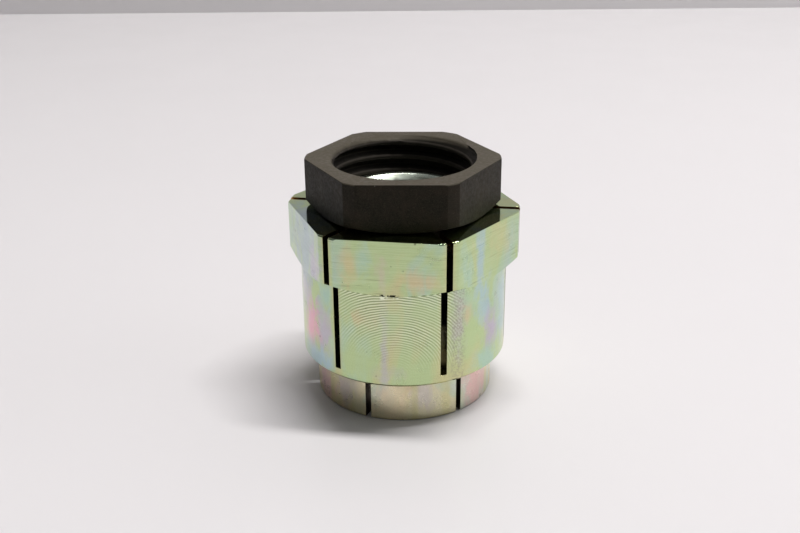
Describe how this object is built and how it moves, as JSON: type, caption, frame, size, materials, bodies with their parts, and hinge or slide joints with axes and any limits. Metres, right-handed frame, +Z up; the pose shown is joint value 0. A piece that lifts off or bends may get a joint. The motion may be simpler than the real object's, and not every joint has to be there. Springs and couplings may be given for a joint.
{
  "type": "split collar compression fitting",
  "caption": "Split-collar compression fitting: a hex nut draws a slotted cone sleeve up inside a slotted hex collar to clamp a round tube in its housing.",
  "frame": {"origin": "centre of the foot of the sleeve, on the common axis, with the fitting loose", "axes": "+Z up along the common axis towards the nut; a pair of the collar's flats faces -Y and +Y"},
  "size_m": [0.0492, 0.0444, 0.052],
  "materials": {
    "collar_zinc": "turned and milled steel, yellow zinc plated",
    "sleeve_zinc": "turned steel, yellow zinc plated",
    "nut_black": "black phosphate, matte"
  },
  "bodies": {
    "collar": {"split_collar": "collar_zinc"},
    "nut": {"compression_nut": "nut_black"},
    "sleeve": {"cone_sleeve": "sleeve_zinc"}
  },
  "joints": [
    {"name": "nut_turn", "type": "hinge", "parent": "collar", "child": "nut", "pos_m": [0, 0, 0.04687], "axis": [0, 0, 1], "range_deg": [-225, 540]},
    {"name": "sleeve_draw", "type": "slide", "parent": "collar", "child": "sleeve", "axis": [0, 0, 1], "range_m": [-0.0049, 0.002]}
  ],
  "couplings": [
    {"joint": "sleeve_draw", "follows": "nut_turn", "m_per_rad": -0.00050532}
  ]
}
